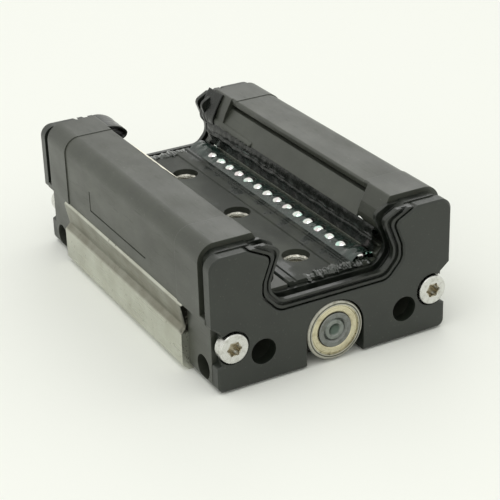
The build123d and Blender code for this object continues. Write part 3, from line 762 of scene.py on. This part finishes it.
def grease_ridge(end, name, x_from, x_to, tall):
    def point(u, v):
        x = (x_from + (x_to - x_from) * u) * MM
        lump = 0.55 + 0.45 * ripple(x, end * 3 * MM, 0, LUMP_SIZE)
        lump += 0.3 * ripple(x, 0, 2 * MM, CRUMB_SIZE)
        taper = min(1.0, 8 * u, 8 * (1 - u))
        arch = math.pi * v
        wave = ripple(x, end * 5 * MM, 4 * MM, WAVE_SIZE)
        spread = RIDGE_HALF * (0.4 + 0.6 * lump + 0.5 * wave)
        y = RIDGE_Y - spread * math.cos(arch) + 0.4 * MM * ripple(x, arch * MM, 0, WAVE_SIZE)
        z = FLOOR_Z - RIDGE_SUNK + math.sin(arch) * taper * tall * max(lump, LOWEST_LUMP)
        z += GRAIN_HEIGHT * math.sin(arch) * ripple(x, arch * MM, 7 * MM, GRAIN_SIZE)
        return (x, end * y, z)

    sheet_piece(name, point, 150, 16, wet_grease)


grease_ridge(-1, "front_grease_ridge", x_from=-3.0, x_to=10.4, tall=1.1 * MM)
grease_ridge(1, "rear_grease_ridge", x_from=-9.0, x_to=6.0, tall=0.8 * MM)

# %% [markdown]
# ## Torn rubber at the rear horns
#
# The wiper lip has torn at both rear horns. On the left a tongue of it curls over the horn into
# the channel, and on the right a thin ribbon lies along the seal strip, behind a black smear on
# the horn. Each is a short strip whose section is a smooth curve through a few corners, with a
# ragged free edge.

# %% Torn strips
TORN_THICKNESS = 0.35 * MM
TEAR_SIZE = 0.8 * MM


def torn_strip(name, section_from, section_to, y_from, y_to, finish):
    """A strip along Y whose section changes from the first corners to the second.

    Corners are x and z, and all places are in millimetres.
    """
    def point(u, v):
        start, end = on_smooth_line(section_from, v), on_smooth_line(section_to, v)
        x, z = (a + (b - a) * u for a, b in zip(start, end))
        y = y_from + (y_to - y_from) * u
        ragged = v * v * ripple(v * 3 * MM, y * MM, 0, TEAR_SIZE)
        return ((x + 0.25 * ragged) * MM, (y + 0.5 * ragged) * MM, (z + 0.3 * ragged) * MM)

    strip = sheet_piece(name, point, 40, 20, finish)
    body = strip.modifiers.new("rubber_thickness", "SOLIDIFY")
    body.thickness = TORN_THICKNESS


torn_strip("left_torn_tongue",
           [(-14.4, 25.75), (-12.6, 25.8), (-10.7, 25.2),
            (-9.5, 23.9), (-10.4, 22.7), (-13.4, 22.9)],
           [(-14.4, 25.75), (-12.4, 25.8), (-10.3, 25.0),
            (-9.1, 23.6), (-10.2, 22.3), (-13.2, 22.6)],
           y_from=25.2, y_to=32.6, finish=rubber_finish)
torn_strip("right_torn_ribbon",
           [(11.3, 21.6), (10.9, 21.2), (10.75, 20.7), (10.85, 20.2)],
           [(11.2, 21.2), (10.75, 20.9), (10.6, 20.5), (10.8, 20.1)],
           y_from=29.5, y_to=13.0, finish=strip_finish)
torn_strip("right_rear_smear",
           [(13.3, 25.9), (11.8, 23.4), (11.0, 21.6), (10.95, 20.3), (11.9, 19.2)],
           [(13.1, 25.9), (11.5, 23.4), (10.8, 21.6), (10.8, 20.3), (11.8, 19.2)],
           y_from=28.0, y_to=33.4, finish=black_grease)

# %% [markdown]
# ## Threads
#
# A thread is a ridge wound round a hole. Modelled as a sheet, its radius rises and falls once per
# pitch while the pitch position also climbs with the angle, and that slope is what makes it a
# helix. The three centre holes show their threads from the channel, and the four mounting holes
# from below. Freshly cut metal is brighter than the ground skin, so the threads have a finish of
# their own. Its near-white colour is also painted light: it makes the threads and their
# mouths read as lit deep inside the holes, where the lamps barely reach.

# %% Cut steel finish, painted bright
# Near-white colours: painted light, so the threads and their mouths read as lit deep in the holes.
CUT_PAINTED_BRIGHT, CUT_DARK = (0.95, 0.93, 0.86), (0.5, 0.48, 0.4)


def cut_steel_painted_bright():
    finish, skin = new_finish("cut_steel", (0.9, 0.88, 0.8), 0.45, 1.0)
    chatter = clouds(finish, 0.3 * MM, 3.0)
    colour = mixed(finish, between(finish, chatter, 0.4, 0.62), CUT_PAINTED_BRIGHT, CUT_DARK)
    feed(finish, skin.inputs["Base Color"], colour)
    feed(finish, skin.inputs["Roughness"], between(finish, chatter, 0.3, 0.7, 0.35, 0.55))
    relief(finish, skin, chatter, 0.02 * MM, 0.08 * MM)
    return finish


painted_bright_cut_finish = cut_steel_painted_bright()
print("finish:", painted_bright_cut_finish.name)

# %% Thread helpers
STEPS_ROUND, MOUTH_STEPS_ROUND = 28, 56
ROWS_PER_TURN = 8
RIDGE_PER_PITCH = 0.16
THREAD_CLEARANCE = 0.02 * MM
MOUTH_SUNK = 0.35 * MM
CHIP, CHIP_SIZE = 0.12 * MM, 0.35 * MM


def thread(name, centre, foot, top, core, pitch):
    """The ridges of a thread in a hole of that core radius."""
    depth = RIDGE_PER_PITCH * pitch
    turns = (top - foot) / pitch

    def point(u, v):
        angle = 2 * math.pi * v
        phase = 2 * math.pi * (u * turns - v)
        radius = core - THREAD_CLEARANCE - depth * (0.5 + 0.5 * math.cos(phase))
        z = foot + (top - foot) * u
        return (centre[0] + radius * math.cos(angle), centre[1] + radius * math.sin(angle), z)

    sheet_piece(name, point, int(turns * ROWS_PER_TURN), STEPS_ROUND, painted_bright_cut_finish,
                closed=True)


def thread_mouth(name, centre, z, core, rim):
    """The countersunk start of a thread, a ragged collar round the hole, painted bright."""
    def point(u, v):
        angle = 2 * math.pi * v
        radius = core + (rim - core) * u
        chips = CHIP * u * ripple(math.cos(angle) * MM, math.sin(angle) * MM, 0, CHIP_SIZE)
        return (centre[0] + radius * math.cos(angle), centre[1] + radius * math.sin(angle),
                z - MOUTH_SUNK * (1 - u) + chips)

    sheet_piece(name, point, 6, MOUTH_STEPS_ROUND, painted_bright_cut_finish, closed=True)


print("thread helpers ready")

# %% Threads in the steel
CENTRE_HOLES = {"front": -22.5 * MM, "middle": -1.2 * MM, "rear": 20.1 * MM}
MOUNT_SIDES = {"left": -17.5 * MM, "right": 17.5 * MM}
MOUNT_ENDS = {"front": -17.5 * MM, "rear": 17.5 * MM}

for word, y in CENTRE_HOLES.items():
    thread(f"{word}_centre_thread", (0, y), foot=0.4 * MM, top=13.2 * MM,
           core=1.65 * MM, pitch=0.7 * MM)
    thread_mouth(f"{word}_thread_mouth", (0, y), z=13.6 * MM, core=1.6 * MM, rim=2.4 * MM)
for side_word, x in MOUNT_SIDES.items():
    for end_word, y in MOUNT_ENDS.items():
        thread(f"{end_word}_{side_word}_mount_thread", (x, y), foot=1.0 * MM, top=6.4 * MM,
               core=2.5 * MM, pitch=1.0 * MM)

# %% [markdown]
# ## Dust in the seams and a painted glint on an edge
#
# A cover and its cap leave a hair-wide seam. On the real part oil and dust have filled it, so it
# reads as a soft line and not as a black cut. The fillings are narrow strips just under the skin
# that follow the outline of the cover: up its side, round its corner and across its top. The
# cream line on the left cover's inner edge is a painted glint: a pale strip that stands in for
# light caught along that edge.

# %% Seam fillings
COVER_SIDE, COVER_TOP, COVER_CORNER = 23.4, 26.0, 3.0
COVER_FOOT, HORN_X = 12.9, 13.5
SEAM_FRONT, SEAM_BACK = 23.0, 23.7
SEAM_DEPTH = 0.1
CORNER_FROM, CORNER_TO = 0.35, 0.65
dust_finish = black_plastic("seam_dust", (0.07, 0.075, 0.06), 0.7,
                            grain=0.01 * MM, dust=0.5, film=0.0)


def cover_outline(share):
    """A place in millimetres just under the skin, from the foot of the side to the horn."""
    side, top = COVER_SIDE - SEAM_DEPTH, COVER_TOP - SEAM_DEPTH
    round_x, round_z = side - COVER_CORNER, top - COVER_CORNER
    if share < CORNER_FROM:
        return (side, COVER_FOOT + (round_z - COVER_FOOT) * share / CORNER_FROM)
    if share < CORNER_TO:
        turn = math.radians(90 * (share - CORNER_FROM) / (CORNER_TO - CORNER_FROM))
        return (round_x + COVER_CORNER * math.cos(turn), round_z + COVER_CORNER * math.sin(turn))
    return (round_x + (HORN_X - round_x) * (share - CORNER_TO) / (1 - CORNER_TO), top)


def seam_filling(side, end, name):
    def point(u, v):
        x, z = cover_outline(u)
        y = SEAM_FRONT + (SEAM_BACK - SEAM_FRONT) * v
        return (side * x * MM, end * y * MM, z * MM)

    sheet_piece(name, point, 60, 2, dust_finish)


for side, side_word in ((-1, "left"), (1, "right")):
    for end, end_word in ((-1, "front"), (1, "rear")):
        seam_filling(side, end, f"{end_word}_{side_word}_seam_dust")

# %% Painted glint on the left cover's edge
GLINT_REAR, GLINT_LENGTH, GLINT_WIDTH = 15.5, 20.5, 0.55
EDGE_X, EDGE_Z, EDGE_RISE = -13.34, 25.92, 0.12
# A pale cream strip along the inner edge: a painted glint that stands in for light caught there.
painted_glint_finish = black_plastic("painted_edge_glint", (0.8, 0.77, 0.66), 0.45,
                            grain=0.01 * MM, dust=0.2, film=0.0)


def painted_edge_glint(u, v):
    y = (GLINT_REAR - GLINT_LENGTH * u) * MM
    width = GLINT_WIDTH * math.sin(math.pi * u) ** 0.4 * (0.8 + 0.2 * ripple(y, 0, 0, 2 * MM))
    return ((EDGE_X - width * v) * MM, y, (EDGE_Z + EDGE_RISE * v) * MM)


sheet_piece("left_painted_edge_glint", painted_edge_glint, 60, 3, painted_glint_finish)
